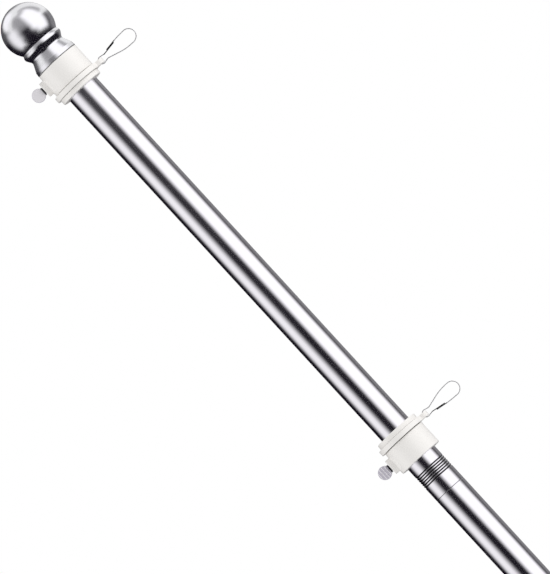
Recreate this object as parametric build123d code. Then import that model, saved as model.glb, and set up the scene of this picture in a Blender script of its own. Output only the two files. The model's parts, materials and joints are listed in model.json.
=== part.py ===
from build123d import *
from math import acos, atan2, cos, hypot, sin
import os

# A sectional steel flagpole for a wall bracket. It stands upright here, with +Z up the pole
# and the origin at the middle of its butt. The hooks point along +X and the thumb screws
# along -X. All sizes are in millimetres.

# Pole tube, made of equal lengths screwed end to end
pole_diameter = 25.4
pole_wall = 1.0
section_count = 4
section_length = 414.0
rim_chamfer = 0.35

# Grooves rolled into a tube to hold the threaded insert of its lower end
groove_count = 6
groove_pitch = 1.84
groove_depth = 0.45
groove_mouth = 1.3
lowest_groove_height = 12.3

# Threaded inserts: a socket above each seam and a plug with a stud below it
insert_clearance = 0.05
socket_length = 32.0
stud_plug_length = 24.0
stud_diameter = 16.0
stud_reach = 22.0
stud_lead_chamfer = 1.2
thread_clearance = 0.1

# Plugs that close the two ends of the pole
top_plug_length = 20.0
finial_stud_diameter = 8.0
finial_stud_spare = 3.0
butt_plug_depth = 18.0
butt_flange_thickness = 2.0
butt_plug_wall = 4.0
butt_edge_radius = 0.8

# Finial: a turned base and a hollow ball on it. The base is a rim, a taper in to the neck, a
# taper out to the bead, and a bevel in to the ball. Neck and bead are measured where the
# tapers would meet, before they are rounded.
foot_radius = 17.4
foot_rim_top_radius = 17.05
foot_rim_height = 3.2
foot_edge_chamfer = 0.3
neck_radius = 13.8
neck_height = 10.3
neck_rounding = 2.5
bead_radius = 17.1
bead_height = 15.5
bead_rounding = 2.9
bevel_height = 2.7
base_top_radius = 15.65
ball_radius = 19.75
ball_shell = 1.6
ball_floor = 4.0

# Plastic collar that slides on the pole, and the cap whose sleeve runs down inside it
collar_clearance = 0.3
collar_wall = 4.3
collar_body_height = 18.55
collar_edge_radius = 0.8
cap_height = 3.7
cap_edge_radius = 0.9
sleeve_wall = 1.5
sleeve_insert = 6.5

# Swivel ring between cap and collar, with a pierced ear that carries the hook
ring_overhang = 2.2
ring_thickness = 3.8
ring_edge_radius = 0.6
ring_cap_gap = 0.2
ring_body_gap = 0.45
ring_bore_gap = 0.3
ear_hole_offset = 1.8
ear_hole_radius = 1.7
ear_radius = 3.7

# Snap hook of flat spring strip. Places are distances out from its pivot and offsets from
# its middle line, and the gate side is the one that faces the collar when the hook hangs.
strip_thickness = 0.6
strip_width = 1.8
eye_clearance = 0.3
neck_reach = 4.2
neck_offset = 1.8
neck_bend_radius = 4.0
shoulder_reach = 18.4
shoulder_offset = 5.75
shoulder_bend_radius = 36.0
tip_reach = 25.4
tip_offset = 0.22
tip_radius = 5.42
lap_start_reach = 7.5
lap_start_offset = 3.3
lap_length = 6.9
lap_slope = 0.152
lap_gap = 0.1
gate_bend_reach = 18.0
gate_bend_radius = 36.0
tongue_root_reach = 4.2
tongue_root_gap = 0.15

# Thumb screw, and the boss on the collar that it runs in
boss_radius = 6.0
boss_height = 3.6
boss_edge_radius = 0.9
screw_diameter = 5.0
screw_clearance = 0.1
screw_tip_gap = 0.3
shoulder_diameter = 6.4
shoulder_thickness = 0.8
shoulder_gap = 0.2
grip_radius = 5.05
grip_reach = 4.4
grip_thickness = 2.0
grip_edge_radius = 0.4
rib_start = 1.7
rib_pitch = 2.25
rib_count = 4
rib_width = 0.6
rib_height = 0.35
rib_inset = 0.3

# Where the collars rest: one under the finial, the other this far down to its ring's middle
finial_gap = 0.3
lower_ring_drop = 362.5

# Sizes and places that follow from the ones above
pole_radius = pole_diameter / 2
bore_radius = pole_radius - pole_wall
insert_radius = bore_radius - insert_clearance
thread_radius = stud_diameter / 2 + thread_clearance
pole_top = butt_flange_thickness + section_count * section_length
stud_hole_radius = finial_stud_diameter / 2 + insert_clearance
base_height = bead_height + bevel_height
ball_seat_drop = (ball_radius ** 2 - base_top_radius ** 2) ** 0.5

collar_bore_radius = pole_radius + collar_clearance
collar_radius = collar_bore_radius + collar_wall
sleeve_radius = collar_bore_radius + sleeve_wall
ring_radius = collar_radius + ring_overhang
ring_half = ring_thickness / 2
body_top = -ring_half - ring_body_gap
body_low = body_top - collar_body_height
body_middle = (body_top + body_low) / 2
sleeve_low = body_top - sleeve_insert
cap_low = ring_half + ring_cap_gap
cap_top = cap_low + cap_height
ear_hole_place = ring_radius + ear_hole_offset
ear_tip_place = ear_hole_place + ear_radius

hook_pivot = (ear_hole_place + ear_hole_radius + ear_tip_place) / 2
eye_radius = hypot(ear_tip_place - hook_pivot, ring_half) + eye_clearance + strip_thickness / 2
tongue_inset = strip_thickness + lap_gap

boss_face = collar_radius + boss_height
shoulder_face = boss_face + shoulder_gap + shoulder_thickness

upper_ring_height = pole_top - finial_gap + body_low
lower_ring_height = pole_top - lower_ring_drop


def flat_place(point):
    """A (distance, height) pair as a place in the XZ plane."""
    return (point[0], 0, point[1])


def straight(points):
    """The straight edges that join a row of (distance, height) pairs."""
    return [Line(flat_place(a), flat_place(b)).edge() for a, b in zip(points, points[1:])]


def curved(start, middle, end):
    """The arc through three (distance, height) pairs."""
    return ThreePointArc(flat_place(start), flat_place(middle), flat_place(end)).edge()


def rounded(points, radii):
    """The edges that join a row of (distance, height) pairs, with its inner corners rounded."""
    return FilletPolyline(*[flat_place(point) for point in points], radius=radii).edges()


def turned(edges):
    """A solid of revolution about Z from the closed outline that the edges make."""
    return revolve(make_face(Wire(edges)), Axis.Z)


def upright(radius, low, high):
    """A cylinder about Z between two heights."""
    return Pos(0, 0, (low + high) / 2) * Cylinder(radius, high - low)


def lying(radius, start, end, height):
    """A cylinder along X between two places, with its axis at a height."""
    return Pos((start + end) / 2, 0, height) * Rot(0, 90, 0) * Cylinder(radius, end - start)


def pole_section(index):
    """One length of tube. Each but the lowest has rolled grooves near its lower end."""
    low = butt_flange_thickness + index * section_length
    high = low + section_length
    outline = [(bore_radius, low), (pole_radius - rim_chamfer, low), (pole_radius, low + rim_chamfer)]
    for number in range(groove_count if index else 0):
        middle = low + lowest_groove_height + number * groove_pitch
        outline.append((pole_radius, middle - groove_mouth / 2))
        outline.append((pole_radius - groove_depth, middle))
        outline.append((pole_radius, middle + groove_mouth / 2))
    outline += [(pole_radius, high - rim_chamfer), (pole_radius - rim_chamfer, high), (bore_radius, high)]
    return turned(straight(outline + outline[:1]))


def joint_socket(seam):
    """Threaded socket that the grooves hold in the tube above a seam."""
    socket_top = seam + socket_length
    return upright(insert_radius, seam, socket_top) - upright(thread_radius, seam, socket_top)


def joint_stud(seam):
    """Plug in the tube below a seam, with the stud that screws into the socket."""
    stud = upright(stud_diameter / 2, seam - stud_plug_length, seam + stud_reach)
    stud = chamfer(stud.edges().sort_by(Axis.Z)[-1], stud_lead_chamfer)
    return stud + upright(insert_radius, seam - stud_plug_length, seam)


def top_plug():
    """Plug in the top of the pole, with the stud that runs up through the base into the ball."""
    stud_top = pole_top + base_height + ball_floor + finial_stud_spare
    plug = upright(insert_radius, pole_top - top_plug_length, pole_top)
    return plug + upright(finial_stud_diameter / 2, pole_top - top_plug_length, stud_top)


def butt_plug():
    """Cup-shaped plug that closes the butt, with a flange as wide as the tube."""
    flange = upright(pole_radius, 0, butt_flange_thickness)
    flange = fillet(flange.edges().sort_by(Axis.Z)[0], butt_edge_radius)
    plug = flange + upright(insert_radius, butt_flange_thickness / 2, butt_plug_depth)
    return plug - upright(insert_radius - butt_plug_wall, butt_flange_thickness, butt_plug_depth)


def finial_base():
    """Turned base: a rim, a taper in to a rounded neck, and a rounded bead that meets the ball."""
    rim_top = (foot_rim_top_radius, foot_rim_height)
    neck = (neck_radius, neck_height)
    bead = (bead_radius, bead_height)
    top_edge = (base_top_radius, base_height)
    edges = straight([top_edge, (stud_hole_radius, base_height), (stud_hole_radius, 0),
                      (foot_radius - foot_edge_chamfer, 0), (foot_radius, foot_edge_chamfer), rim_top])
    edges += rounded([rim_top, neck, bead, top_edge], [neck_rounding, bead_rounding])
    return Pos(0, 0, pole_top) * turned(edges)


def finial_ball():
    """Hollow ball, cut flat where it sits, with a floor that the stud screws into."""
    seat = pole_top + base_height
    centre = Pos(0, 0, seat + ball_seat_drop)
    ball = split(centre * Sphere(ball_radius), Plane.XY.offset(seat))
    hollow = split(centre * Sphere(ball_radius - ball_shell), Plane.XY.offset(seat + ball_floor))
    return ball - hollow - upright(stud_hole_radius, seat, seat + ball_floor)


def collar_body():
    """Collar round the pole: a stepped bore takes the cap's sleeve, and a boss the screw."""
    body = upright(collar_radius, body_low, body_top)
    body = fillet(body.edges().filter_by(GeomType.CIRCLE), collar_edge_radius)
    boss = lying(boss_radius, -boss_face, 0, body_middle)
    boss = fillet(boss.edges().sort_by(Axis.X)[0], boss_edge_radius)
    body += boss
    body -= upright(collar_bore_radius, body_low, body_top)
    body -= upright(sleeve_radius + insert_clearance, sleeve_low, body_top)
    return body - lying(screw_diameter / 2 + screw_clearance, -boss_face, 0, body_middle)


def cap_sleeve():
    """Round cap over the swivel ring, with the sleeve that holds the ring on the collar."""
    cap = upright(collar_radius, cap_low, cap_top)
    cap = fillet(cap.edges().sort_by(Axis.Z)[-1], cap_edge_radius)
    cap += upright(sleeve_radius, sleeve_low, cap_top)
    return cap - upright(collar_bore_radius, sleeve_low, cap_top)


def swivel_ring():
    """Loose ring with an ear, rounded along its rims, pierced for the sleeve and the hook."""
    plan = Circle(ring_radius) + Pos(ear_hole_place, 0) * Circle(ear_radius)
    plan += Pos(ear_hole_place / 2, 0) * Rectangle(ear_hole_place, 2 * ear_radius)
    ring = Pos(0, 0, -ring_half) * extrude(plan, ring_thickness)
    rims = ring.edges().filter_by_position(Axis.Z, -ring_half, -ring_half)
    rims += ring.edges().filter_by_position(Axis.Z, ring_half, ring_half)
    ring = fillet(rims, ring_edge_radius)
    ring -= upright(sleeve_radius + ring_bore_gap, -ring_half, ring_half)
    return ring - Pos(ear_hole_place, 0) * upright(ear_hole_radius, -ring_half, ring_half)


def on_hook(reach, offset):
    """A place on the hook, from its distance out from the pivot and its offset."""
    return (hook_pivot + reach, offset)


def touch_point(centre, radius, outside, side):
    """Where a line from an outside place touches a circle, on the left (1) or the right (-1)."""
    dx = outside[0] - centre[0]
    dz = outside[1] - centre[1]
    turn = atan2(dz, dx) + side * acos(radius / hypot(dx, dz))
    return (centre[0] + radius * cos(turn), centre[1] + radius * sin(turn))


def flat_strip(edges):
    """Strip of even thickness and width with rounded ends, along edges in the XZ plane."""
    outline = Wire(edges).offset_2d(strip_thickness / 2, kind=Kind.ARC)
    return extrude(make_face(outline), strip_width / 2, dir=(0, 1, 0), both=True)


def lap_place(reach, inward=0):
    """A place on the slope of the hook's lapping end, or this far inward of it."""
    return on_hook(reach, inward - lap_start_offset - lap_slope * (reach - lap_start_reach))


def snap_hook():
    """Strip bent round the ear, out along one leg, round the tip and back outside the tongue."""
    pivot = on_hook(0, 0)
    neck = on_hook(neck_reach, neck_offset)
    shoulder = on_hook(shoulder_reach, shoulder_offset)
    tip_centre = on_hook(tip_reach, tip_offset)
    lap_start = lap_place(lap_start_reach)
    gate_bend = lap_place(gate_bend_reach)
    root = lap_place(tongue_root_reach, tongue_inset)

    eye_left = touch_point(pivot, eye_radius, neck, 1)
    eye_right = touch_point(pivot, eye_radius, root, -1)
    tip_left = touch_point(tip_centre, tip_radius, shoulder, -1)
    tip_right = touch_point(tip_centre, tip_radius, gate_bend, 1)
    run = hypot(root[0] - eye_right[0], root[1] - eye_right[1])
    kept = 1 - (strip_thickness + tongue_root_gap) / run
    stub_end = tuple(a + kept * (b - a) for a, b in zip(eye_right, root))

    edges = straight([stub_end, eye_right])
    edges.append(curved(eye_right, on_hook(-eye_radius, 0), eye_left))
    edges += rounded([eye_left, neck, shoulder, tip_left], [neck_bend_radius, shoulder_bend_radius])
    edges.append(curved(tip_left, on_hook(tip_reach + tip_radius, tip_offset), tip_right))
    edges += rounded([tip_right, gate_bend, lap_start], [gate_bend_radius])
    return flat_strip(edges)


def hook_tongue():
    """Springy tongue that closes the gate, hinged at its rounded root beside the eye."""
    root = lap_place(tongue_root_reach, tongue_inset)
    tip = lap_place(lap_start_reach + lap_length, tongue_inset)
    run = (tip[0] - root[0], tip[1] - root[1])
    middle = (root[0] + run[0] / 2, root[1] + run[1] / 2)
    side = Plane(origin=flat_place(middle), x_dir=flat_place(run), z_dir=(0, 1, 0))
    return extrude(side * SlotCenterToCenter(hypot(*run), strip_thickness), strip_width / 2, both=True)


def thumb_screw():
    """Screw with a round shoulder and a flat round grip that is ribbed on one face."""
    shank = lying(screw_diameter / 2, -boss_face - shoulder_gap, -pole_radius - screw_tip_gap, 0)
    shoulder = lying(shoulder_diameter / 2, -shoulder_face, -boss_face - shoulder_gap, 0)
    place = Pos(-shoulder_face - grip_reach, 0, 0)
    grip = place * Rot(90, 0, 0) * Cylinder(grip_radius, grip_thickness)
    grip = fillet(grip.edges().filter_by(GeomType.CIRCLE), grip_edge_radius)
    rib_disc = place * Rot(90, 0, 0) * Cylinder(grip_radius - rib_inset, grip_thickness + 2 * rib_height)
    rib_depth = grip_thickness / 2 + rib_height
    for number in range(rib_count):
        rib_place = Pos(-shoulder_face - rib_start - number * rib_pitch, -rib_depth / 2, 0)
        grip += rib_disc & (rib_place * Box(rib_width, rib_depth, 2 * grip_radius))
    grip = split(grip, Plane.YZ.offset(-shoulder_face), keep=Keep.BOTTOM)
    return Pos(0, 0, body_middle) * (shank + shoulder + grip)


os.makedirs("parts", exist_ok=True)

for index in range(section_count):
    export_step(pole_section(index), f"parts/pole_section_{index + 1}.step")
for index in range(1, section_count):
    seam = butt_flange_thickness + index * section_length
    export_step(joint_socket(seam), f"parts/joint_socket_{index}.step")
    export_step(joint_stud(seam), f"parts/joint_stud_{index}.step")
export_step(butt_plug(), "parts/butt_plug.step")
export_step(top_plug(), "parts/top_plug.step")
export_step(finial_base(), "parts/finial_base.step")
export_step(finial_ball(), "parts/finial_ball.step")

# The upper collar hangs upside down, with its body against the finial
rests = {"upper": Pos(0, 0, upper_ring_height) * Rot(180, 0, 0), "lower": Pos(0, 0, lower_ring_height)}
pieces = {
    "collar_body": collar_body(),
    "collar_cap": cap_sleeve(),
    "swivel_ring": swivel_ring(),
    "snap_hook": snap_hook(),
    "hook_tongue": hook_tongue(),
    "thumb_screw": thumb_screw(),
}
for side, rest in rests.items():
    for name, piece in pieces.items():
        export_step(rest * piece, f"parts/{side}_{name}.step")
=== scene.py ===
import bpy, bmesh, json, math
from mathutils import Matrix, Quaternion, Vector


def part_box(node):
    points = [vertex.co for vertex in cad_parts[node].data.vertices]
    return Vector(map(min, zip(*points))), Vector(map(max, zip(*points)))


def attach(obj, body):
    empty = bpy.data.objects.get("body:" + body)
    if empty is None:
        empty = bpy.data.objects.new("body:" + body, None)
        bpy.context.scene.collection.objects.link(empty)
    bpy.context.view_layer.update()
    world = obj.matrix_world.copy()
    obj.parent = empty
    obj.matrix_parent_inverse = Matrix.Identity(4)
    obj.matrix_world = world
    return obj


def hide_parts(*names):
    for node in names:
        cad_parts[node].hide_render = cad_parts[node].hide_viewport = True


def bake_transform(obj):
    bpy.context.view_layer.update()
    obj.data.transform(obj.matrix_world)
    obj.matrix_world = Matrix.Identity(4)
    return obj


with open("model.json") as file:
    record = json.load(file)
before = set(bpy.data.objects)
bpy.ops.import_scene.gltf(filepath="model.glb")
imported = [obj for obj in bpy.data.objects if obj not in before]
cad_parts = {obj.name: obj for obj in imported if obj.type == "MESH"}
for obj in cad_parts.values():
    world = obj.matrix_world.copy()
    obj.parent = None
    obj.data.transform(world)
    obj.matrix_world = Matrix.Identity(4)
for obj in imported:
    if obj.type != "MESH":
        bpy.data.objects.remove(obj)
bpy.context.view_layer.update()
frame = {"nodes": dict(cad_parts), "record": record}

mm = 0.001
tiny = 0.001   # places closer than this, in millimetres, are one


def millimetres(node):
    low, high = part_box(node)
    return low / mm, high / mm


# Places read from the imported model, in millimetres
poleTop = millimetres("finial_base")[0].z
poleRadius = millimetres("pole_section_1")[1].x
seams = [millimetres("pole_section_%d" % number)[0].z for number in range(2, 5)]
sides = ("upper", "lower")
ringMiddle = {side: sum(corner.z for corner in millimetres(side + "_swivel_ring")) / 2 for side in sides}
print("frame loaded, pole top at", round(poleTop, 1), "mm")


# Shader maths as plain sums on sockets
class Num:
    def __init__(self, tree, socket):
        self.tree, self.socket = tree, socket

    def mixed(self, operation, first, second):
        node = self.tree.nodes.new("ShaderNodeMath")
        node.operation = operation
        for place, value in enumerate((first, second)):
            if isinstance(value, Num):
                self.tree.links.new(value.socket, node.inputs[place])
            else:
                node.inputs[place].default_value = value
        return Num(self.tree, node.outputs[0])

    def __add__(self, other):
        return self.mixed("ADD", self, other)

    def __radd__(self, other):
        return self.mixed("ADD", other, self)

    def __sub__(self, other):
        return self.mixed("SUBTRACT", self, other)

    def __rsub__(self, other):
        return self.mixed("SUBTRACT", other, self)

    def __mul__(self, other):
        return self.mixed("MULTIPLY", self, other)

    def __rmul__(self, other):
        return self.mixed("MULTIPLY", other, self)

    def __truediv__(self, other):
        return self.mixed("DIVIDE", self, other)

    def __rtruediv__(self, other):
        return self.mixed("DIVIDE", other, self)

    def clamped(self):
        return self.mixed("MINIMUM", self.mixed("MAXIMUM", self, 0.0), 1.0)


class Shade:
    # builds one node tree: a material's, or the world's
    def __init__(self, owner):
        owner.use_nodes = True
        self.owner, self.tree = owner, owner.node_tree
        self.tree.nodes.clear()

    def add(self, kind, settings=None, sockets=None):
        node = self.tree.nodes.new("ShaderNode" + kind)
        for name, value in (settings or {}).items():
            if name == "stops":
                ramp = node.color_ramp
                while len(ramp.elements) < len(value):
                    ramp.elements.new(0.5)
                for element, (place, colour) in zip(ramp.elements, value):
                    element.position = place
                    element.color = colour
            else:
                setattr(node, name, value)
        for name, value in (sockets or {}).items():
            self.feed(node.inputs[name], value)
        return node

    def feed(self, socket, value):
        if isinstance(value, Num):
            value = value.socket
        if isinstance(value, bpy.types.NodeSocket):
            self.tree.links.new(value, socket)
        else:
            socket.default_value = value

    def num(self, socket):
        return Num(self.tree, socket)

    def parts(self, vector):
        split = self.add("SeparateXYZ", sockets={0: vector})
        return [self.num(split.outputs[axis]) for axis in "XYZ"]

    def noise(self, vector, scale, detail, roughness, stretch=(1, 1, 1)):
        mapped = self.add("Mapping", {"vector_type": "POINT"}, {"Vector": vector, "Scale": stretch})
        made = self.add("TexNoise", sockets={"Vector": mapped.outputs[0], "Scale": scale,
                                             "Detail": detail, "Roughness": roughness})
        return self.num(made.outputs["Fac"])

    def blendColours(self, factor, first, second):
        node = self.add("Mix", {"data_type": "RGBA"})
        for name, value in (("Factor_Float", factor), ("A_Color", first), ("B_Color", second)):
            self.feed(next(s for s in node.inputs if s.identifier == name), value)
        return next(s for s in node.outputs if s.identifier == "Result_Color")

    def objectPlace(self):
        return self.add("TexCoord").outputs["Object"]

    def bump(self, height, strength, distance):
        bump = self.add("Bump", sockets={"Strength": strength, "Distance": distance, "Height": height})
        return bump.outputs[0]


def rgb(red, green, blue):
    return (red, green, blue, 1.0)


# Polished steel. Its lines run round a turned piece and along a drawn tube.
# A tube's colour is darkened in its grooves as painted shade: start and span are differences of squared
# radii, in millimetres.
grooveShade = {"start": 0.5, "span": 1.5, "colour": rgb(0.035, 0.034, 0.038)}
steelGrain = {"lineDetail": 3.0, "lineRoughness": 0.6, "lineShare": 0.6, "bumpDistance": 0.00002,
              "cloudScale": 35.0, "cloudDetail": 3.0, "cloudRoughness": 0.5,
              "dullBelow": 0.3, "contrast": 1.6}
steelLook = {
    "tube": {"bright": rgb(0.82, 0.81, 0.835), "dull": rgb(0.77, 0.76, 0.785), "roughness": 0.16,
             "spread": 0.05, "stretch": (1, 1, 0.02), "scale": 900.0, "bump": 0.01},
    "finial": {"bright": rgb(0.82, 0.82, 0.84), "dull": rgb(0.76, 0.76, 0.78), "roughness": 0.20,
               "spread": 0.05, "stretch": (0.05, 0.05, 1), "scale": 900.0, "bump": 0.01},
    "strip": {"bright": rgb(0.86, 0.86, 0.87), "dull": rgb(0.76, 0.76, 0.77), "roughness": 0.38,
              "spread": 0.08, "stretch": (0.1, 1, 0.1), "scale": 1500.0, "bump": 0.02},
    # painted shade: near black for the tongue and the hook's lap, standing in for the shade and dark
    # reflections there
    "tongue": {"bright": rgb(0.05, 0.05, 0.053), "dull": rgb(0.03, 0.03, 0.032), "roughness": 0.40,
               "spread": 0.08, "stretch": (0.1, 1, 0.1), "scale": 1500.0, "bump": 0.02},
    "insert": {"bright": rgb(0.74, 0.74, 0.75), "dull": rgb(0.66, 0.66, 0.67), "roughness": 0.32,
               "spread": 0.06, "stretch": (0.05, 0.05, 1), "scale": 1200.0, "bump": 0.04},
    # painted shade: near black for the screw where it shows in the gap between grip and boss
    "dark": {"bright": rgb(0.06, 0.06, 0.065), "dull": rgb(0.04, 0.04, 0.045), "roughness": 0.35,
             "spread": 0.10, "stretch": (1, 0.05, 0.05), "scale": 1500.0, "bump": 0.04},
}


def steel(name):
    look, grain = steelLook[name], steelGrain
    shade = Shade(bpy.data.materials.new(name + "Steel"))
    place = shade.objectPlace()
    lines = shade.noise(place, look["scale"], grain["lineDetail"], grain["lineRoughness"], look["stretch"])
    cloud = shade.noise(place, grain["cloudScale"], grain["cloudDetail"], grain["cloudRoughness"])
    mottle = lines * grain["lineShare"] + cloud * (1 - grain["lineShare"])
    mask = (mottle - grain["dullBelow"]) * grain["contrast"]
    colour = shade.blendColours(mask.clamped(), look["dull"], look["bright"])
    if name == "tube":
        # painted shade: the colour goes dark towards the bottom of each groove
        x, y, _ = shade.parts(place)
        depth = poleRadius ** 2 - (x * x + y * y) / mm ** 2
        sunk = (depth - grooveShade["start"]) / grooveShade["span"]
        colour = shade.blendColours(sunk.clamped(), colour, grooveShade["colour"])
    surface = shade.add("BsdfPrincipled", sockets={
        "Base Color": colour,
        "Metallic": 1.0,
        "Roughness": (lines + cloud - 1.0) * look["spread"] + look["roughness"],
        "Normal": shade.bump(lines, look["bump"], grain["bumpDistance"]),
    })
    shade.add("OutputMaterial", sockets={"Surface": surface.outputs[0]})
    return shade.owner


# Moulded plastics: a fine grain, and a slow change of tone and gloss from the flow of the plastic
plasticGrain = {"detail": 2.0, "roughness": 0.5, "bumpDistance": 0.00003}
plasticFlow = {"scale": 60.0, "detail": 3.0, "roughness": 0.55, "glossSpread": 0.12}
plasticLook = {
    "white": {"light": rgb(0.88, 0.86, 0.84), "dark": rgb(0.86, 0.84, 0.815), "roughness": 0.28,
              "grain": 2200.0, "bump": 0.01},
    "grip": {"light": rgb(0.61, 0.585, 0.665), "dark": rgb(0.56, 0.535, 0.61), "roughness": 0.42,
             "grain": 2600.0, "bump": 0.03},
    # painted light: a lighter copy of the grip's plastic, for its back face and the light its ribs catch
    "pale": {"light": rgb(0.87, 0.85, 0.885), "dark": rgb(0.82, 0.80, 0.835), "roughness": 0.38,
             "grain": 2600.0, "bump": 0.03},
    # painted shade: dark grey for the cap's inner tube, where it shows through the gaps beside the ring
    "sleeveShade": {"light": rgb(0.20, 0.195, 0.19), "dark": rgb(0.16, 0.155, 0.15), "roughness": 0.45,
               "grain": 2400.0, "bump": 0.03},
    "butt": {"light": rgb(0.035, 0.035, 0.036), "dark": rgb(0.025, 0.025, 0.026), "roughness": 0.48,
             "grain": 2400.0, "bump": 0.10},
}


def plastic(name):
    look = plasticLook[name]
    shade = Shade(bpy.data.materials.new(name + "Plastic"))
    place = shade.objectPlace()
    grain = shade.noise(place, look["grain"], plasticGrain["detail"], plasticGrain["roughness"])
    flow = shade.noise(place, plasticFlow["scale"], plasticFlow["detail"], plasticFlow["roughness"])
    surface = shade.add("BsdfPrincipled", sockets={
        "Base Color": shade.blendColours(flow, look["dark"], look["light"]),
        "Roughness": (flow - 0.5) * plasticFlow["glossSpread"] + look["roughness"],
        "Normal": shade.bump(grain, look["bump"], plasticGrain["bumpDistance"]),
    })
    shade.add("OutputMaterial", sockets={"Surface": surface.outputs[0]})
    return shade.owner


finishes = {
    "tube_steel": steel("tube"),
    "finial_steel": steel("finial"),
    "spring_steel": steel("strip"),
    "insert_alloy": steel("insert"),
    "white_plastic": plastic("white"),
    "screw_plastic": plastic("grip"),
    "butt_plastic": plastic("butt"),
}
screwShadeSteel = steel("dark")
tongueShadeSteel = steel("tongue")
litGripPlastic = plastic("pale")
sleeveShadePlastic = plastic("sleeveShade")
slotOf = {row["node"]: row["material_slot"] for row in frame["record"]["subparts"]}
for name, node in frame["nodes"].items():
    node.data.materials.clear()
    node.data.materials.append(finishes[slotOf[name]])
print("materials made:", len(bpy.data.materials))


# Outlines are rows of places in millimetres: distance from the axis, then height
curveSteps = {"small": 15, "large": 6, "largeFrom": 2}   # degrees a step, and the largest small rounding


def roundCorner(before, corner, after, rounding):
    start = (before - corner).normalized()
    end = (after - corner).normalized()
    half = start.angle(end) / 2
    middle = corner + (start + end).normalized() * (rounding / math.sin(half))
    first = corner + start * (rounding / math.tan(half)) - middle
    last = corner + end * (rounding / math.tan(half)) - middle
    sweep = first.angle(last)
    degreesPerStep = curveSteps["large" if rounding > curveSteps["largeFrom"] else "small"]
    steps = max(2, round(math.degrees(sweep) / degreesPerStep))
    points = []
    for step in range(steps + 1):
        turned = sweep * step / steps
        reach = first * math.sin(sweep - turned) + last * math.sin(turned)
        points.append(middle + reach / math.sin(sweep))
    return points


def outline(corners, closed=True):
    # a corner is (distance, height), or (distance, height, rounding)
    places = [Vector(corner[:2]) for corner in corners]
    points = []
    for number, corner in enumerate(corners):
        isEnd = not closed and number in (0, len(corners) - 1)
        if len(corner) == 3 and not isEnd:
            after = places[(number + 1) % len(places)]
            points += roundCorner(places[number - 1], places[number], after, corner[2])
        else:
            points.append(places[number])
    return points


def arc(middle, radius, start, end, steps):
    # angles in degrees from the distance axis towards the height axis
    turns = [math.radians(start + (end - start) * step / steps) for step in range(steps + 1)]
    return [Vector((middle[0] + radius * math.cos(turn), middle[1] + radius * math.sin(turn)))
            for turn in turns]


def skin(build, rings, closedAcross=True, closedAlong=False):
    # quads between neighbouring rows of vertices
    for ring, following in zip(rings, rings[1:] + (rings[:1] if closedAlong else [])):
        for number in range(len(ring) if closedAcross else len(ring) - 1):
            after = (number + 1) % len(ring)
            build.faces.new((ring[number], ring[after], following[after], following[number]))


def lathe(build, points, closed=True, turns=128, matrix=Matrix()):
    rings = []
    for step in range(turns):
        turn = math.tau * step / turns
        rings.append([build.verts.new(matrix @ Vector((p.x * math.cos(turn), p.x * math.sin(turn), p.y)))
                      for p in points])
    skin(build, rings, closedAcross=closed, closedAlong=True)


def makeMesh(name, build):
    # drawn in millimetres, kept in metres
    bmesh.ops.remove_doubles(build, verts=build.verts, dist=tiny)
    bmesh.ops.delete(build, geom=[edge for edge in build.edges if edge.is_wire], context="EDGES")
    bmesh.ops.recalc_face_normals(build, faces=build.faces)
    mesh = bpy.data.meshes.new(name)
    build.to_mesh(mesh)
    build.free()
    mesh.transform(Matrix.Scale(mm, 4))
    piece = bpy.data.objects.new(name, mesh)
    bpy.context.scene.collection.objects.link(piece)
    return piece


def finishPiece(piece, slotName, nodes, body=None, matrix=None, sharp=40):
    mesh = piece.data
    mesh.polygons.foreach_set("use_smooth", [True] * len(mesh.polygons))
    mesh.set_sharp_from_angle(angle=math.radians(sharp))
    piece.modifiers.new("levelFlats", "WEIGHTED_NORMAL").keep_sharp = True
    mesh.materials.append(finishes[slotName])
    if matrix:
        piece.matrix_world = matrix
    if body:
        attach(piece, body)
    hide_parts(*nodes)
    return piece


def joinSolids(piece, other, operation):
    # one solid from two: the second is used up, and slivers left along the join are merged away
    step = piece.modifiers.new(operation, "BOOLEAN")
    step.operation, step.solver, step.object = operation, "EXACT", other
    whole = bpy.data.meshes.new_from_object(piece.evaluated_get(bpy.context.evaluated_depsgraph_get()))
    piece.modifiers.clear()
    build = bmesh.new()
    build.from_mesh(whole)
    bmesh.ops.remove_doubles(build, verts=build.verts, dist=tiny * mm)
    bmesh.ops.dissolve_degenerate(build, edges=build.edges, dist=tiny * mm)
    build.to_mesh(whole)
    build.free()
    piece.data = whole
    bpy.data.objects.remove(other)


# Tube lengths, each turned from one outline. All but the lowest have rolled grooves.
tubeParts = {"bore": 11.7, "boreRounding": 0.1, "rimRounding": 0.35, "grooves": 6, "groovePitch": 1.84,
             "grooveDepth": 0.45, "grooveMouth": 1.3, "grooveSteps": 8, "lowestGroove": 12.3}


def makeTube(number):
    part = tubeParts
    node = "pole_section_%d" % number
    low, high = (corner.z for corner in millimetres(node))
    corners = [(part["bore"], low, part["boreRounding"]), (poleRadius, low, part["rimRounding"])]
    for groove in range(part["grooves"] if number > 1 else 0):
        middle = low + part["lowestGroove"] + groove * part["groovePitch"]
        for step in range(part["grooveSteps"] + 1):
            share = 2 * step / part["grooveSteps"] - 1
            dip = part["grooveDepth"] * (1 + math.cos(math.pi * share)) / 2
            corners.append((poleRadius - dip, middle + share * part["grooveMouth"] / 2))
    corners += [(poleRadius, high, part["rimRounding"]), (part["bore"], high, part["boreRounding"])]
    build = bmesh.new()
    lathe(build, outline(corners), turns=160)
    finishPiece(makeMesh("tube_%d" % number, build), "tube_steel", [node], "pole")


# Threads and the plugs that carry them. The lead is the taper at a thread's upper end.
threads = {
    "joint": {"radius": 8.0, "depth": 1.0, "pitch": 2.0, "lead": 1.2},
    "finial": {"radius": 4.0, "depth": 0.6, "pitch": 1.25, "lead": 0.8},
    "thumb": {"radius": 2.5, "depth": 0.4, "pitch": 0.8, "lead": 0.4},
}
threadFlank = {"slope": 1.3, "crest": 0.15}   # as shares of half a pitch


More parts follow.
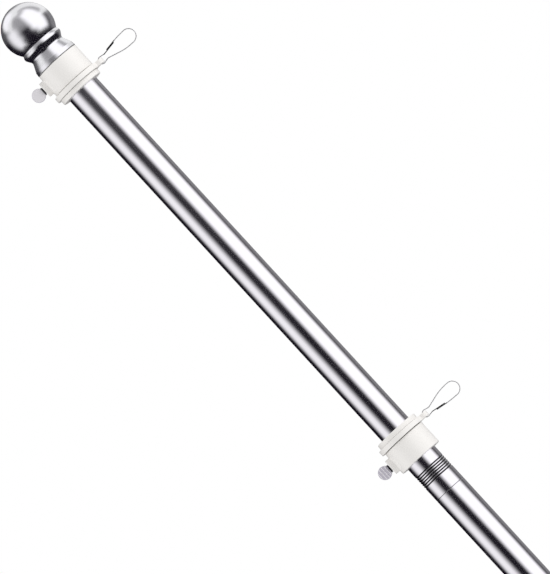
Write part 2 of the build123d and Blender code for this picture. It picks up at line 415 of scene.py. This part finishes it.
def threadedRod(build, thread, low, high, matrix=Matrix(), turns=36, rowsPerTurn=8):
    rows = round((high - low) / thread["pitch"] * rowsPerTurn)
    rings = []
    for row in range(rows + 1):
        height = low + (high - low) * row / rows
        ring = []
        for step in range(turns):
            share = (height / thread["pitch"] - step / turns) % 1
            flank = min(1, max(0, threadFlank["slope"] * abs(2 * share - 1) - threadFlank["crest"]))
            radius = min(thread["radius"] - thread["depth"] * flank,
                         thread["radius"] - thread["lead"] + (high - height))
            turn = math.tau * step / turns
            place = Vector((radius * math.cos(turn), radius * math.sin(turn), height))
            ring.append(build.verts.new(matrix @ place))
        rings.append(ring)
    skin(build, rings)
    build.faces.new(rings[-1])
    build.faces.new(rings[0])


def makePlug(name, node, thread, plugTop, edge=0.4):
    low, high = millimetres(node)
    corners = [(0, low.z), (high.x, low.z, edge), (high.x, plugTop, edge), (0, plugTop)]
    build = bmesh.new()
    lathe(build, outline(corners, closed=False), closed=False, turns=96)
    threadedRod(build, threads[thread], plugTop - edge, high.z)
    finishPiece(makeMesh(name, build), "insert_alloy", [node], "pole", sharp=30)


for number in range(1, 5):
    makeTube(number)
for number, seam in enumerate(seams, 1):
    makePlug("threaded_stud_%d" % number, "joint_stud_%d" % number, "joint", seam)
makePlug("threaded_top_plug", "top_plug", "finial", poleTop)
print("pole made")


# Finial: base and ball, turned from their outlines. Heights are from the top of the pole.
finialParts = {
    "footRadius": 17.4, "footRounding": 0.35, "rim": (17.05, 3.2, 0.4),
    "neck": (13.8, 10.3, 2.5), "bead": (17.1, 15.5, 2.9),   # where the tapers meet, and the rounding
    "seatRadius": 15.65, "seatHeight": 18.2, "seatRounding": 0.2,
    "hole": 4.05, "ballRadius": 19.75, "shell": 1.6, "floor": 4.0, "ballSteps": 72, "insideSteps": 36,
}


def makeFinial():
    part = finialParts
    lift = Matrix.Translation((0, 0, poleTop))
    build = bmesh.new()
    corners = [(part["hole"], 0), (part["footRadius"], 0, part["footRounding"]),
               part["rim"], part["neck"], part["bead"],
               (part["seatRadius"], part["seatHeight"], part["seatRounding"]),
               (part["hole"], part["seatHeight"])]
    lathe(build, outline(corners), turns=160, matrix=lift)
    finishPiece(makeMesh("finial_turned_base", build), "finial_steel", ["finial_base"], "pole")

    centre = (0, millimetres("finial_ball")[1].z - poleTop - part["ballRadius"])
    inner = part["ballRadius"] - part["shell"]
    floorHeight = part["seatHeight"] + part["floor"]
    seatTurn = math.degrees(math.asin((part["seatHeight"] - centre[1]) / part["ballRadius"]))
    floorTurn = math.degrees(math.asin((floorHeight - centre[1]) / inner))
    points = [Vector((part["hole"], part["seatHeight"]))]
    points += arc(centre, part["ballRadius"], seatTurn, 90, part["ballSteps"])
    points += arc(centre, inner, 90, floorTurn, part["insideSteps"])
    points += [Vector((part["hole"], floorHeight))]
    build = bmesh.new()
    lathe(build, points, turns=160, matrix=lift)
    finishPiece(makeMesh("finial_hollow_ball", build), "finial_steel", ["finial_ball"], "pole")


makeFinial()
print("finial made")


# Collars, in the frame of their ring: millimetres, with the cap towards +Z
collarParts = {
    "bore": 13.0, "radius": 17.3, "bodyLow": -20.9, "bodyTop": -2.35, "bodyRounding": 0.5,
    "innerRounding": 0.3, "sleeveRadius": 14.5, "sleeveLow": -8.85, "sleevePlay": 0.05,
    "capLow": 2.1, "capTop": 5.8, "capRounding": 0.6, "capLowRounding": 0.1, "darkMargin": 0.1,
    "bossHeight": -11.625, "bossRadius": 6.0, "bossFace": 20.9, "bossRounding": 0.6, "bossWeld": 0.7,
    "weldSteps": 6, "bossBuried": 0.5,
    "screwHole": 2.6, "drillStart": 1.2, "drillPast": 0.5,   # starts at a multiple of bossFace
}
ringParts = {"radius": 19.5, "half": 1.9, "rounding": 0.3, "roundingSteps": 3, "bore": 14.8,
             "earPlace": 21.3, "earRadius": 3.7, "earHole": 1.7, "steps": 128, "earSteps": 24}


def collarMatrix(side):
    # the upper collar is turned over, so that its body meets the finial
    turn = Matrix.Rotation(math.pi if side == "upper" else 0, 4, "X")
    return Matrix.Translation((0, 0, ringMiddle[side] * mm)) @ turn


def screwMatrix():
    # along the thumb screw's axis
    return Matrix.Translation((0, 0, collarParts["bossHeight"])) @ Matrix.Rotation(math.pi / 2, 4, "Y")


def makeBody(side):
    part = collarParts
    sleeveRoom = part["sleeveRadius"] + part["sleevePlay"]
    corners = [(part["bore"], part["bodyLow"], part["innerRounding"]),
               (part["radius"], part["bodyLow"], part["bodyRounding"]),
               (part["radius"], part["bodyTop"], part["bodyRounding"]),
               (sleeveRoom, part["bodyTop"], part["innerRounding"]),
               (sleeveRoom, part["sleeveLow"]), (part["bore"], part["sleeveLow"])]
    build = bmesh.new()
    lathe(build, outline(corners))
    piece = makeMesh(side + "_collar_moulding", build)
    joinSolids(piece, makeBoss(side), "UNION")
    outside, inside = -part["drillStart"] * part["bossFace"], part["drillPast"] - part["bore"]
    drill = [(0, outside), (part["screwHole"], outside), (part["screwHole"], inside), (0, inside)]
    hole = bmesh.new()
    lathe(hole, outline(drill, closed=False), closed=False, turns=48, matrix=screwMatrix())
    joinSolids(piece, makeMesh(side + "_screw_hole", hole), "DIFFERENCE")
    finishPiece(piece, "white_plastic", [side + "_collar_body"], side + "_collar", collarMatrix(side),
                sharp=30)


def makeBoss(side, steps=72):
    # rows of (distance from the boss's axis, how far out, whether that is from the round wall)
    part = collarParts
    weld = [(part["bossRadius"] + part["bossWeld"] - p.x, p.y, True)
            for p in arc((0, part["bossWeld"]), part["bossWeld"], -90, 0, part["weldSteps"])]
    buried = [(weld[0][0], -part["bossBuried"], True)]
    corners = [(part["radius"], part["bossRadius"]),
               (part["bossFace"], part["bossRadius"], part["bossRounding"]), (part["bossFace"], 0)]
    rim = outline(corners, closed=False)
    build = bmesh.new()
    rings = []
    for distance, out, fromWall in buried + weld + [(p.y, p.x, False) for p in rim[1:-1]]:
        ring = []
        for step in range(steps):
            turn = math.tau * step / steps
            y, z = distance * math.cos(turn), distance * math.sin(turn)
            wall = math.sqrt(part["radius"] ** 2 - y ** 2) if fromWall else 0
            ring.append(build.verts.new((-wall - out, y, part["bossHeight"] + z)))
        rings.append(ring)
    skin(build, rings)
    build.faces.new(rings[-1])
    middle = build.verts.new((part["bossBuried"] - part["radius"], 0, part["bossHeight"]))
    for first, second in zip(rings[0], rings[0][1:] + rings[0][:1]):
        build.faces.new((first, second, middle))
    return makeMesh(side + "_boss", build)


def makeCap(side):
    part = collarParts
    corners = [(part["bore"], part["capTop"], part["innerRounding"]),
               (part["radius"], part["capTop"], part["capRounding"]),
               (part["radius"], part["capLow"], part["capLowRounding"]),
               (part["sleeveRadius"], part["capLow"]),
               (part["sleeveRadius"], part["sleeveLow"], part["innerRounding"]),
               (part["bore"], part["sleeveLow"], part["innerRounding"])]
    build = bmesh.new()
    lathe(build, outline(corners))
    # painted shade: outer faces of the cap's inner tube, below the cap, take the dark second slot
    for face in build.faces:
        middle = face.calc_center_median()
        isOutside = middle.xy.length > part["sleeveRadius"] - part["darkMargin"]
        face.material_index = int(isOutside and middle.z < part["capLow"])
    lid = finishPiece(makeMesh(side + "_collar_lid", build), "white_plastic", [side + "_collar_cap"],
                      side + "_collar", collarMatrix(side))
    lid.data.materials.append(sleeveShadePlastic)


def makeRing(side):
    # a flat curve with holes, thickened and rounded, then kept as a mesh
    part = ringParts
    earTurn = math.degrees(math.asin(part["earRadius"] / part["radius"]))
    rim = arc((0, 0), part["radius"], earTurn, 360 - earTurn, part["steps"])
    rim += arc((part["earPlace"], 0), part["earRadius"], -90, 90, part["earSteps"])
    loops = [rim, arc((0, 0), part["bore"], 0, 360, part["steps"])[:-1],
             arc((part["earPlace"], 0), part["earHole"], 0, 360, part["earSteps"])[:-1]]
    curve = bpy.data.curves.new(side + "RingPlan", "CURVE")
    curve.dimensions = "2D"
    curve.fill_mode = "BOTH"
    curve.extrude = part["half"] - part["rounding"]
    curve.bevel_depth, curve.offset = part["rounding"], -part["rounding"]
    curve.bevel_resolution = part["roundingSteps"]
    for loop in loops:
        spline = curve.splines.new("POLY")
        spline.points.add(len(loop) - 1)
        for point, place in zip(spline.points, loop):
            point.co = (place.x, place.y, 0, 1)
        spline.use_cyclic_u = True
    plan = bpy.data.objects.new(side + "RingPlan", curve)
    bpy.context.scene.collection.objects.link(plan)
    solid = bpy.data.meshes.new_from_object(plan.evaluated_get(bpy.context.evaluated_depsgraph_get()))
    build = bmesh.new()
    build.from_mesh(solid)
    bpy.data.objects.remove(plan)
    bpy.data.curves.remove(curve)
    bpy.data.meshes.remove(solid)
    finishPiece(makeMesh(side + "_eared_ring", build), "white_plastic", [side + "_swivel_ring"],
                side + "_swivel", collarMatrix(side), sharp=30)


# Snap hook and its tongue: two flat strips, drawn in the plane of the hook. The tongue, and the hook where
# it laps the tongue, are near black as painted shade; the tongue bends over its first stretch.
hookParts = {
    "pivot": 24.0, "thickness": 0.6, "width": 1.8, "edge": 0.14,
    "eyeRadius": 2.747, "neck": (28.2, 1.8, 4.0), "shoulder": (42.4, 5.75, 36.0),
    "tip": (49.4, 0.22), "tipRadius": 5.42, "eyeSteps": 30, "tipSteps": 36, "roundEnd": (25, 50, 75),
    "lapStart": (31.5, -3.3), "lapSlope": 0.152, "gateBend": 42.0, "gateRounding": 36.0,
    "endMargin": 1.0, "lapMargin": 0.5,   # how far round the lap the hook is dark
    "tongueInset": 0.7, "tongueRoot": 28.2, "tongueEnd": 38.4, "tongueSteps": 32,
    "rootGap": 0.75, "rootShare": 0.6, "bendLength": 4.5,
}


def lapPlace(reach, inward=0):
    part = hookParts
    return (reach, part["lapStart"][1] + inward - part["lapSlope"] * (reach - part["lapStart"][0]))


def touchTurn(middle, radius, outside, side):
    # the angle on a circle where a line from an outside place touches it
    reach = Vector(outside) - Vector(middle)
    return math.degrees(math.atan2(reach.y, reach.x) + side * math.acos(radius / reach.length))


def hookPath():
    part = hookParts
    pivot = (part["pivot"], 0)
    root = lapPlace(part["tongueRoot"], part["tongueInset"])
    gateBend = (*lapPlace(part["gateBend"]), part["gateRounding"])
    eyeIn = touchTurn(pivot, part["eyeRadius"], root, -1)
    eyeOut = touchTurn(pivot, part["eyeRadius"], part["neck"][:2], 1)
    tipIn = touchTurn(part["tip"], part["tipRadius"], part["shoulder"][:2], -1)
    tipOut = touchTurn(part["tip"], part["tipRadius"], gateBend[:2], 1)
    eye = arc(pivot, part["eyeRadius"], eyeIn % 360, eyeOut % 360, part["eyeSteps"])
    tip = arc(part["tip"], part["tipRadius"], tipIn, tipOut, part["tipSteps"])
    run = Vector(root) - eye[0]
    path = [eye[0] + run * (1 - part["rootGap"] / run.length)] + eye
    path += outline([eye[-1], part["neck"], part["shoulder"], tip[0]], closed=False)[1:-1] + tip
    path += outline([tip[-1], gateBend, part["lapStart"]], closed=False)[1:]
    return path


def sweepStrip(path):
    part = hookParts
    half, side = part["thickness"] / 2, part["width"] / 2
    section = outline([(half, side, part["edge"]), (-half, side, part["edge"]),
                       (-half, -side, part["edge"]), (half, -side, part["edge"])])
    stations = [(point, (after - before).normalized(), 1.0)
                for before, point, after in zip(path[:1] + path, path, path[1:] + path[-1:])]
    roundEnd = [math.radians(turn) for turn in part["roundEnd"]]
    first, last = stations[0], stations[-1]
    heads = [(first[0] - first[1] * half * math.sin(turn), first[1], math.cos(turn))
             for turn in reversed(roundEnd)]
    tails = [(last[0] + last[1] * half * math.sin(turn), last[1], math.cos(turn)) for turn in roundEnd]
    build = bmesh.new()
    rings = []
    for point, tangent, thin in heads + stations + tails:
        across = Vector((-tangent.y, tangent.x)) * thin
        rings.append([build.verts.new((point.x + across.x * s.x, s.y, point.y + across.y * s.x))
                      for s in section])
    skin(build, rings)
    build.faces.new(rings[0])
    build.faces.new(rings[-1])
    return build


def makeHook(side):
    part = hookParts
    build = sweepStrip(hookPath())
    for face in build.faces:
        middle = face.calc_center_median()
        isBeside = part["lapStart"][0] - part["endMargin"] < middle.x < part["tongueEnd"]
        isLap = isBeside and middle.z < lapPlace(middle.x, part["lapMargin"])[1]
        # painted shade: faces of the lap take the near-black tongue look
        face.material_index = int(isLap)
    strip = finishPiece(makeMesh(side + "_hook_strip", build), "spring_steel", [side + "_snap_hook"],
                        side + "_hook", collarMatrix(side))
    strip.data.materials.append(tongueShadeSteel)
    root = Vector(lapPlace(part["tongueRoot"], part["tongueInset"]))
    end = Vector(lapPlace(part["tongueEnd"], part["tongueInset"]))
    run = (end - root).normalized()
    start = root - run * part["rootGap"] * part["rootShare"]
    path = [start + (end - start) * step / part["tongueSteps"] for step in range(part["tongueSteps"] + 1)]
    tongue = finishPiece(makeMesh(side + "_springy_tongue", sweepStrip(path)), "spring_steel",
                         [side + "_hook_tongue"], matrix=collarMatrix(side))
    tongue.data.materials[0] = tongueShadeSteel
    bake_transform(tongue)


# Thumb screw: a flat round grip, ribbed on one face, on a screw. The screw is near black as painted shade
# where it shows between grip and boss; the grip's back face and its ribs are a lighter copy of its plastic,
# as painted light.
gripParts = {
    "place": 26.3, "radius": 5.05, "thickness": 2.0, "rounding": 0.4, "cut": 21.9,
    "faceMargin": 0.01,
    "ribs": 4, "firstRib": 23.6, "ribPitch": 2.25, "ribWidth": 0.6, "ribHeight": 0.35, "ribInset": 0.35,
    "ribSunk": 0.05,   # share of a rib's height that lies in the grip
    # places along a rib, from -1 to 1, and how tall it is there
    "ribRise": ((-1, 0.04), (-0.97, 0.75), (-0.9, 1), (0.9, 1), (0.97, 0.75), (1, 0.04)),
    "shoulderRadius": 3.2, "shoulderLow": 21.1, "shoulderRounding": 0.1, "shoulderSunk": 0.3,
    "screwEnd": 13.0,
}


def makeScrew(side):
    part = gripParts
    half = part["thickness"] / 2
    middle = Matrix.Translation((-part["place"], 0, collarParts["bossHeight"]))
    grip = bmesh.new()
    lathe(grip, outline([(0, -half), (part["radius"], -half, part["rounding"]),
                         (part["radius"], half, part["rounding"]), (0, half)], closed=False),
          closed=False, turns=96, matrix=middle @ Matrix.Rotation(math.pi / 2, 4, "X"))
    everything = grip.verts[:] + grip.edges[:] + grip.faces[:]
    cut = bmesh.ops.bisect_plane(grip, geom=everything, plane_co=(-part["cut"], 0, 0),
                                 plane_no=(1, 0, 0), clear_outer=True)
    bmesh.ops.holes_fill(grip, edges=[e for e in cut["geom_cut"] if isinstance(e, bmesh.types.BMEdge)])
    # painted light: the grip's back face takes the lighter copy
    for face in grip.faces:
        face.material_index = int(face.calc_center_median().y > half - part["faceMargin"])
    for number in range(part["ribs"]):
        addRib(grip, part["firstRib"] + number * part["ribPitch"], half)
    piece = finishPiece(makeMesh(side + "_ribbed_grip", grip), "screw_plastic", [side + "_thumb_screw"],
                        side + "_screw", collarMatrix(side))
    piece.data.materials.append(litGripPlastic)

    sunk = -part["cut"] - part["shoulderSunk"]
    shoulder = [(0, sunk), (part["shoulderRadius"], sunk),
                (part["shoulderRadius"], -part["shoulderLow"], part["shoulderRounding"]),
                (0, -part["shoulderLow"])]
    screw = bmesh.new()
    threadedRod(screw, threads["thumb"], -part["shoulderLow"], -part["screwEnd"], screwMatrix())
    lathe(screw, outline(shoulder, closed=False), closed=False, turns=64, matrix=screwMatrix())
    piece = finishPiece(makeMesh(side + "_shaded_screw", screw), "screw_plastic", [side + "_thumb_screw"],
                        side + "_screw", collarMatrix(side), sharp=30)
    # the screw's near black is painted shade
    piece.data.materials[0] = screwShadeSteel


def addRib(build, place, face, steps=10):
    # a rounded bar across the grip's front face, as long as the round allows
    part = gripParts
    half = math.sqrt((part["radius"] - part["ribInset"]) ** 2 - (place - part["place"]) ** 2)
    section = arc((0, 0), 1, 0, 180, steps)
    rings = []
    for share, tall in part["ribRise"]:
        rings.append([build.verts.new((p.x * part["ribWidth"] / 2 - place,
                                       -face - (p.y * tall - part["ribSunk"]) * part["ribHeight"],
                                       collarParts["bossHeight"] + share * half)) for p in section])
    before = set(build.faces)
    skin(build, rings)
    build.faces.new(rings[0])
    build.faces.new(rings[-1])
    # painted highlight: the ribs take the grip's lighter copy
    for new in set(build.faces) - before:
        new.material_index = 1


for side in sides:
    makeBody(side)
    makeCap(side)
    makeRing(side)
    makeHook(side)
    makeScrew(side)
    print(side, "collar made")


# Camera: a long lens far in front, looking a little upwards, rolled as the photo is
view = {
    "width": 550, "height": 574,
    "tubePixels": 35.75,               # the tube's width
    "axisPixel": (97.27, 104.76),      # a point on the pole's middle line
    "axisDrop": 43.0,                  # how far that point is below the top of the tube, in mm
    "downPole": (0.67625, 0.73667),    # the way down the pole, in pixels
    "distance": 9420.0, "heightAboveFloor": 850.0,
    "clip": (0.1, 200.0),              # in metres
}


def makeCamera():
    scale = 2 * poleRadius / view["tubePixels"]
    down = Vector(view["downPole"])
    right = Vector((down.y, -down.x))
    toCentre = Vector((view["width"], view["height"])) / 2 - Vector(view["axisPixel"])
    drop = view["axisDrop"] + toCentre.dot(down) * scale
    centre = Vector((toCentre.dot(right) * scale, 0, poleTop - drop))
    place = Vector((centre.x, -view["distance"], view["heightAboveFloor"]))
    camera = bpy.data.objects.new("camera", bpy.data.cameras.new("camera"))
    bpy.context.scene.collection.objects.link(camera)
    camera.location = place * mm
    roll = Quaternion((0, 0, 1), -math.atan2(down.x, down.y))
    camera.rotation_mode = "QUATERNION"
    camera.rotation_quaternion = (centre - place).to_track_quat("-Z", "Y") @ roll
    longSide = max(view["width"], view["height"]) * scale
    camera.data.lens = (centre - place).length * camera.data.sensor_width / longSide
    camera.data.clip_start, camera.data.clip_end = view["clip"]
    bpy.context.scene.camera = camera


makeCamera()
print("camera set")


# Studio: a white world, cards that only reflections see, soft lamps and a pale floor, in metres.
# A card is given as seen from its centre, a place on the pole's axis at eyeHeight if no other is
# given: azimuth in degrees from the camera towards +X, and elevation. Its edges fade over the
# degrees in soft: left, right, low and high. Its levels are pairs of an elevation and how bright
# the card is there. No card reaches below its plane, which is just over the floor if not given.
# worldDiffuse is how bright the world is to what isn't seen or reflected.
studio = {
    "worldDiffuse": 0.75, "eyeHeight": 1.5, "wall": 4.4, "lowPlane": 0.02, "planeStep": 0.05,
    "leastDrop": 1e-6, "columnDegrees": 4, "rowDegrees": 2, "lampAim": (0, 0, 1.4),
    "floorSize": 12.0, "floorColour": rgb(0.86, 0.86, 0.86),
    "cards": {
        "topGrey": {"radius": 4.4, "azimuth": (-75, 130), "elevation": (20, 84), "soft": (30, 20, 1, 8),
                    "levels": [(40, 0.44), (62, 0.46), (80, 0.62)], "strength": 1.0},
        "topBack": {"radius": 4.35, "azimuth": (158, 214), "elevation": (4, 58), "soft": (16, 16, 8, 14),
                    "levels": [(4, 0.26), (58, 0.26)], "strength": 1.0},
        "topLight": {"radius": 4.3, "azimuth": (-178, -80), "elevation": (38, 84), "soft": (20, 26, 10, 10),
                     "levels": [(38, 1.0), (84, 1.0)], "strength": 1.2},
        "skirt": {"radius": 4.3, "azimuth": (-180, 180), "elevation": (-60, -26), "soft": (0, 0, 1, 20),
                  "levels": [(-60, 0.008), (-26, 0.008)], "strength": 1.0, "centre": 1.690, "plane": 1.657},
        "backLeft": {"radius": 4.2, "azimuth": (-180, -74), "elevation": (-38, 44), "soft": (0, 2, 1, 14),
                     "levels": [(7, 0.005), (15, 0.07), (25, 0.10)], "strength": 1.0},
        "backRight": {"radius": 4.2, "azimuth": (74, 180), "elevation": (-38, 12), "soft": (2, 0, 1, 5),
                      "levels": [(-38, 0.25), (12, 0.25)], "strength": 1.0},
        "backSlit": {"radius": 4.15, "azimuth": (98, 126), "elevation": (-38, 12), "soft": (8, 12, 1, 5),
                     "levels": [(-38, 0.12), (12, 0.12)], "strength": 1.0},
        "leftLight": {"radius": 4.0, "azimuth": (-124, -24), "elevation": (-42, 49), "soft": (46, 2, 18, 26),
                      "levels": [(-42, 1.0), (49, 1.0)], "strength": 1.1},
        "rightLight": {"radius": 4.0, "azimuth": (-4, 107), "elevation": (-42, 74), "soft": (2, 28, 18, 18),
                       "levels": [(-42, 1.0), (74, 1.0)], "strength": 1.32},
        "frontFlag": {"radius": 3.8, "azimuth": (-66, 31), "elevation": (-38, 76), "soft": (44, 32, 1, 18),
                      "levels": [(5, 0.010), (9, 0.11), (17, 0.25), (28, 0.33), (40, 0.39)],
                      "strength": 1.0},
        "lowFlag": {"radius": 3.7, "azimuth": (-75, 52), "elevation": (-60, -6), "soft": (44, 40, 1, 22),
                    "levels": [(-60, 0.012), (-6, 0.012)], "strength": 1.0},
    },
}


greyTint = {"red": (0.99, 0.002), "green": (0.98, 0.0), "blue": (1.0, 0.006)}   # gain and lift


def grey(level):
    # a little violet, the more so the darker it is
    return rgb(*(gain * level + lift for gain, lift in greyTint.values()))


def softEdge(place, rise, fall):
    # 0 to 1 to 0 as place goes from 0 to 1; rise and fall are shares of the way
    mask = 1.0
    for edge, share in ((place, rise), (1 - place, fall)):
        if share:
            step = (edge / share).clamped()
            mask = step * step * (3 - 2 * step) * mask
    return mask


def cardPlace(card, azimuth, elevation):
    # as far out as the card's radius, or where the line of sight meets its plane
    turn, rise = math.radians(azimuth), math.radians(elevation)
    way = Vector((math.sin(turn) * math.cos(rise), -math.cos(turn) * math.cos(rise), math.sin(rise)))
    centre = card.get("centre", studio["eyeHeight"])
    nearness = studio["wall"] - card["radius"]
    plane = card.get("plane", studio["lowPlane"] + nearness * studio["planeStep"])
    reach = min(card["radius"], (centre - plane) / max(studio["leastDrop"], -way.z))
    return Vector((0, 0, centre)) + way * reach


def makeCard(name, card):
    start, end = card["azimuth"]
    low, high = card["elevation"]
    columns, rows = (end - start) // studio["columnDegrees"], (high - low) // studio["rowDegrees"]
    mesh = bpy.data.meshes.new(name)
    build = bmesh.new()
    uv = build.loops.layers.uv.new("place")
    grid = [[build.verts.new(cardPlace(card, start + (end - start) * column / columns,
                                       low + (high - low) * row / rows))
             for row in range(rows + 1)] for column in range(columns + 1)]
    for column in range(columns):
        for row in range(rows):
            corners = [(column, row), (column + 1, row), (column + 1, row + 1), (column, row + 1)]
            face = build.faces.new([grid[c][r] for c, r in corners])
            for loop, (c, r) in zip(face.loops, corners):
                loop[uv].uv = (c / columns, r / rows)
    build.to_mesh(mesh)
    build.free()
    shade = Shade(bpy.data.materials.new(name))
    across, up, _ = shade.parts(shade.add("TexCoord").outputs["UV"])
    softLeft, softRight, softLow, softHigh = card["soft"]
    mask = softEdge(up, softLow / (high - low), softHigh / (high - low))
    if softLeft or softRight:
        mask = mask * softEdge(across, softLeft / (end - start), softRight / (end - start))
    mask = mask * shade.num(shade.add("NewGeometry").outputs["Backfacing"])   # shows from inside only
    stops = [((rise - low) / (high - low), grey(level)) for rise, level in card["levels"]]
    colour = shade.add("ValToRGB", {"stops": stops}, {"Fac": up})
    light = shade.add("Emission", sockets={"Color": colour.outputs[0], "Strength": card["strength"]})
    clear = shade.add("BsdfTransparent")
    mixed = shade.add("MixShader", sockets={0: mask, 1: clear.outputs[0], 2: light.outputs[0]})
    shade.add("OutputMaterial", sockets={"Surface": mixed.outputs[0]})
    shade.owner.cycles.emission_sampling = "NONE"   # leaves all light samples to the lamps
    mesh.materials.append(shade.owner)
    piece = bpy.data.objects.new(name, mesh)
    bpy.context.scene.collection.objects.link(piece)
    piece.visible_camera = piece.visible_diffuse = piece.visible_shadow = False
    piece.visible_transmission = piece.visible_volume_scatter = False


def makeWorld():
    world = bpy.data.worlds.new("studio")
    bpy.context.scene.world = world
    shade = Shade(world)
    path = shade.add("LightPath")
    rays = [shade.num(path.outputs["Is %s Ray" % kind]) for kind in ("Camera", "Glossy", "Transmission")]
    seen = (rays[0] + rays[1] + rays[2]).clamped()
    level = seen * (1 - studio["worldDiffuse"]) + studio["worldDiffuse"]
    light = shade.add("Background", sockets={"Color": rgb(1, 1, 1), "Strength": level})
    shade.add("OutputWorld", sockets={"Surface": light.outputs[0]})


def makeFloor():
    half = studio["floorSize"] / 2
    mesh = bpy.data.meshes.new("floor")
    corners = [(-half, -half, 0), (half, -half, 0), (half, half, 0), (-half, half, 0)]
    mesh.from_pydata(corners, [], [(0, 1, 2, 3)])
    shade = Shade(bpy.data.materials.new("floorPaper"))
    paper = shade.add("BsdfDiffuse", sockets={"Color": studio["floorColour"]})
    x, y, _ = shade.parts(shade.objectPlace())
    fade = softEdge((x * x + y * y) / half ** 2, 1.0, 0)   # no hard horizon
    below = shade.num(shade.add("NewGeometry").outputs["Backfacing"])
    gone = (fade + below).clamped()
    clear = shade.add("BsdfTransparent")
    mixed = shade.add("MixShader", sockets={0: gone, 1: paper.outputs[0], 2: clear.outputs[0]})
    shade.add("OutputMaterial", sockets={"Surface": mixed.outputs[0]})
    mesh.materials.append(shade.owner)
    floor = bpy.data.objects.new("floor", mesh)
    bpy.context.scene.collection.objects.link(floor)


lamps = {
    "key": {"at": (3.9, -1.7, 2.9), "size": 1.6, "watts": 76.0},
    "fill": {"at": (-3.9, -0.8, 2.2), "size": 2.0, "watts": 36.0},
}


def makeLamp(name, lamp):
    data = bpy.data.lights.new(name, "AREA")
    data.shape, data.size, data.energy = "SQUARE", lamp["size"], lamp["watts"]
    piece = bpy.data.objects.new(name, data)
    bpy.context.scene.collection.objects.link(piece)
    piece.location = lamp["at"]
    aim = Vector(studio["lampAim"]) - piece.location
    piece.rotation_mode = "QUATERNION"
    piece.rotation_quaternion = aim.to_track_quat("-Z", "Y")
    piece.visible_glossy = False


for name, card in studio["cards"].items():
    makeCard(name, card)
makeWorld()
makeFloor()
for name, lamp in lamps.items():
    makeLamp(name, lamp)
bpy.context.scene.view_settings.view_transform = "Standard"
print("studio made: cards", len(studio["cards"]), "lamps", len(lamps))
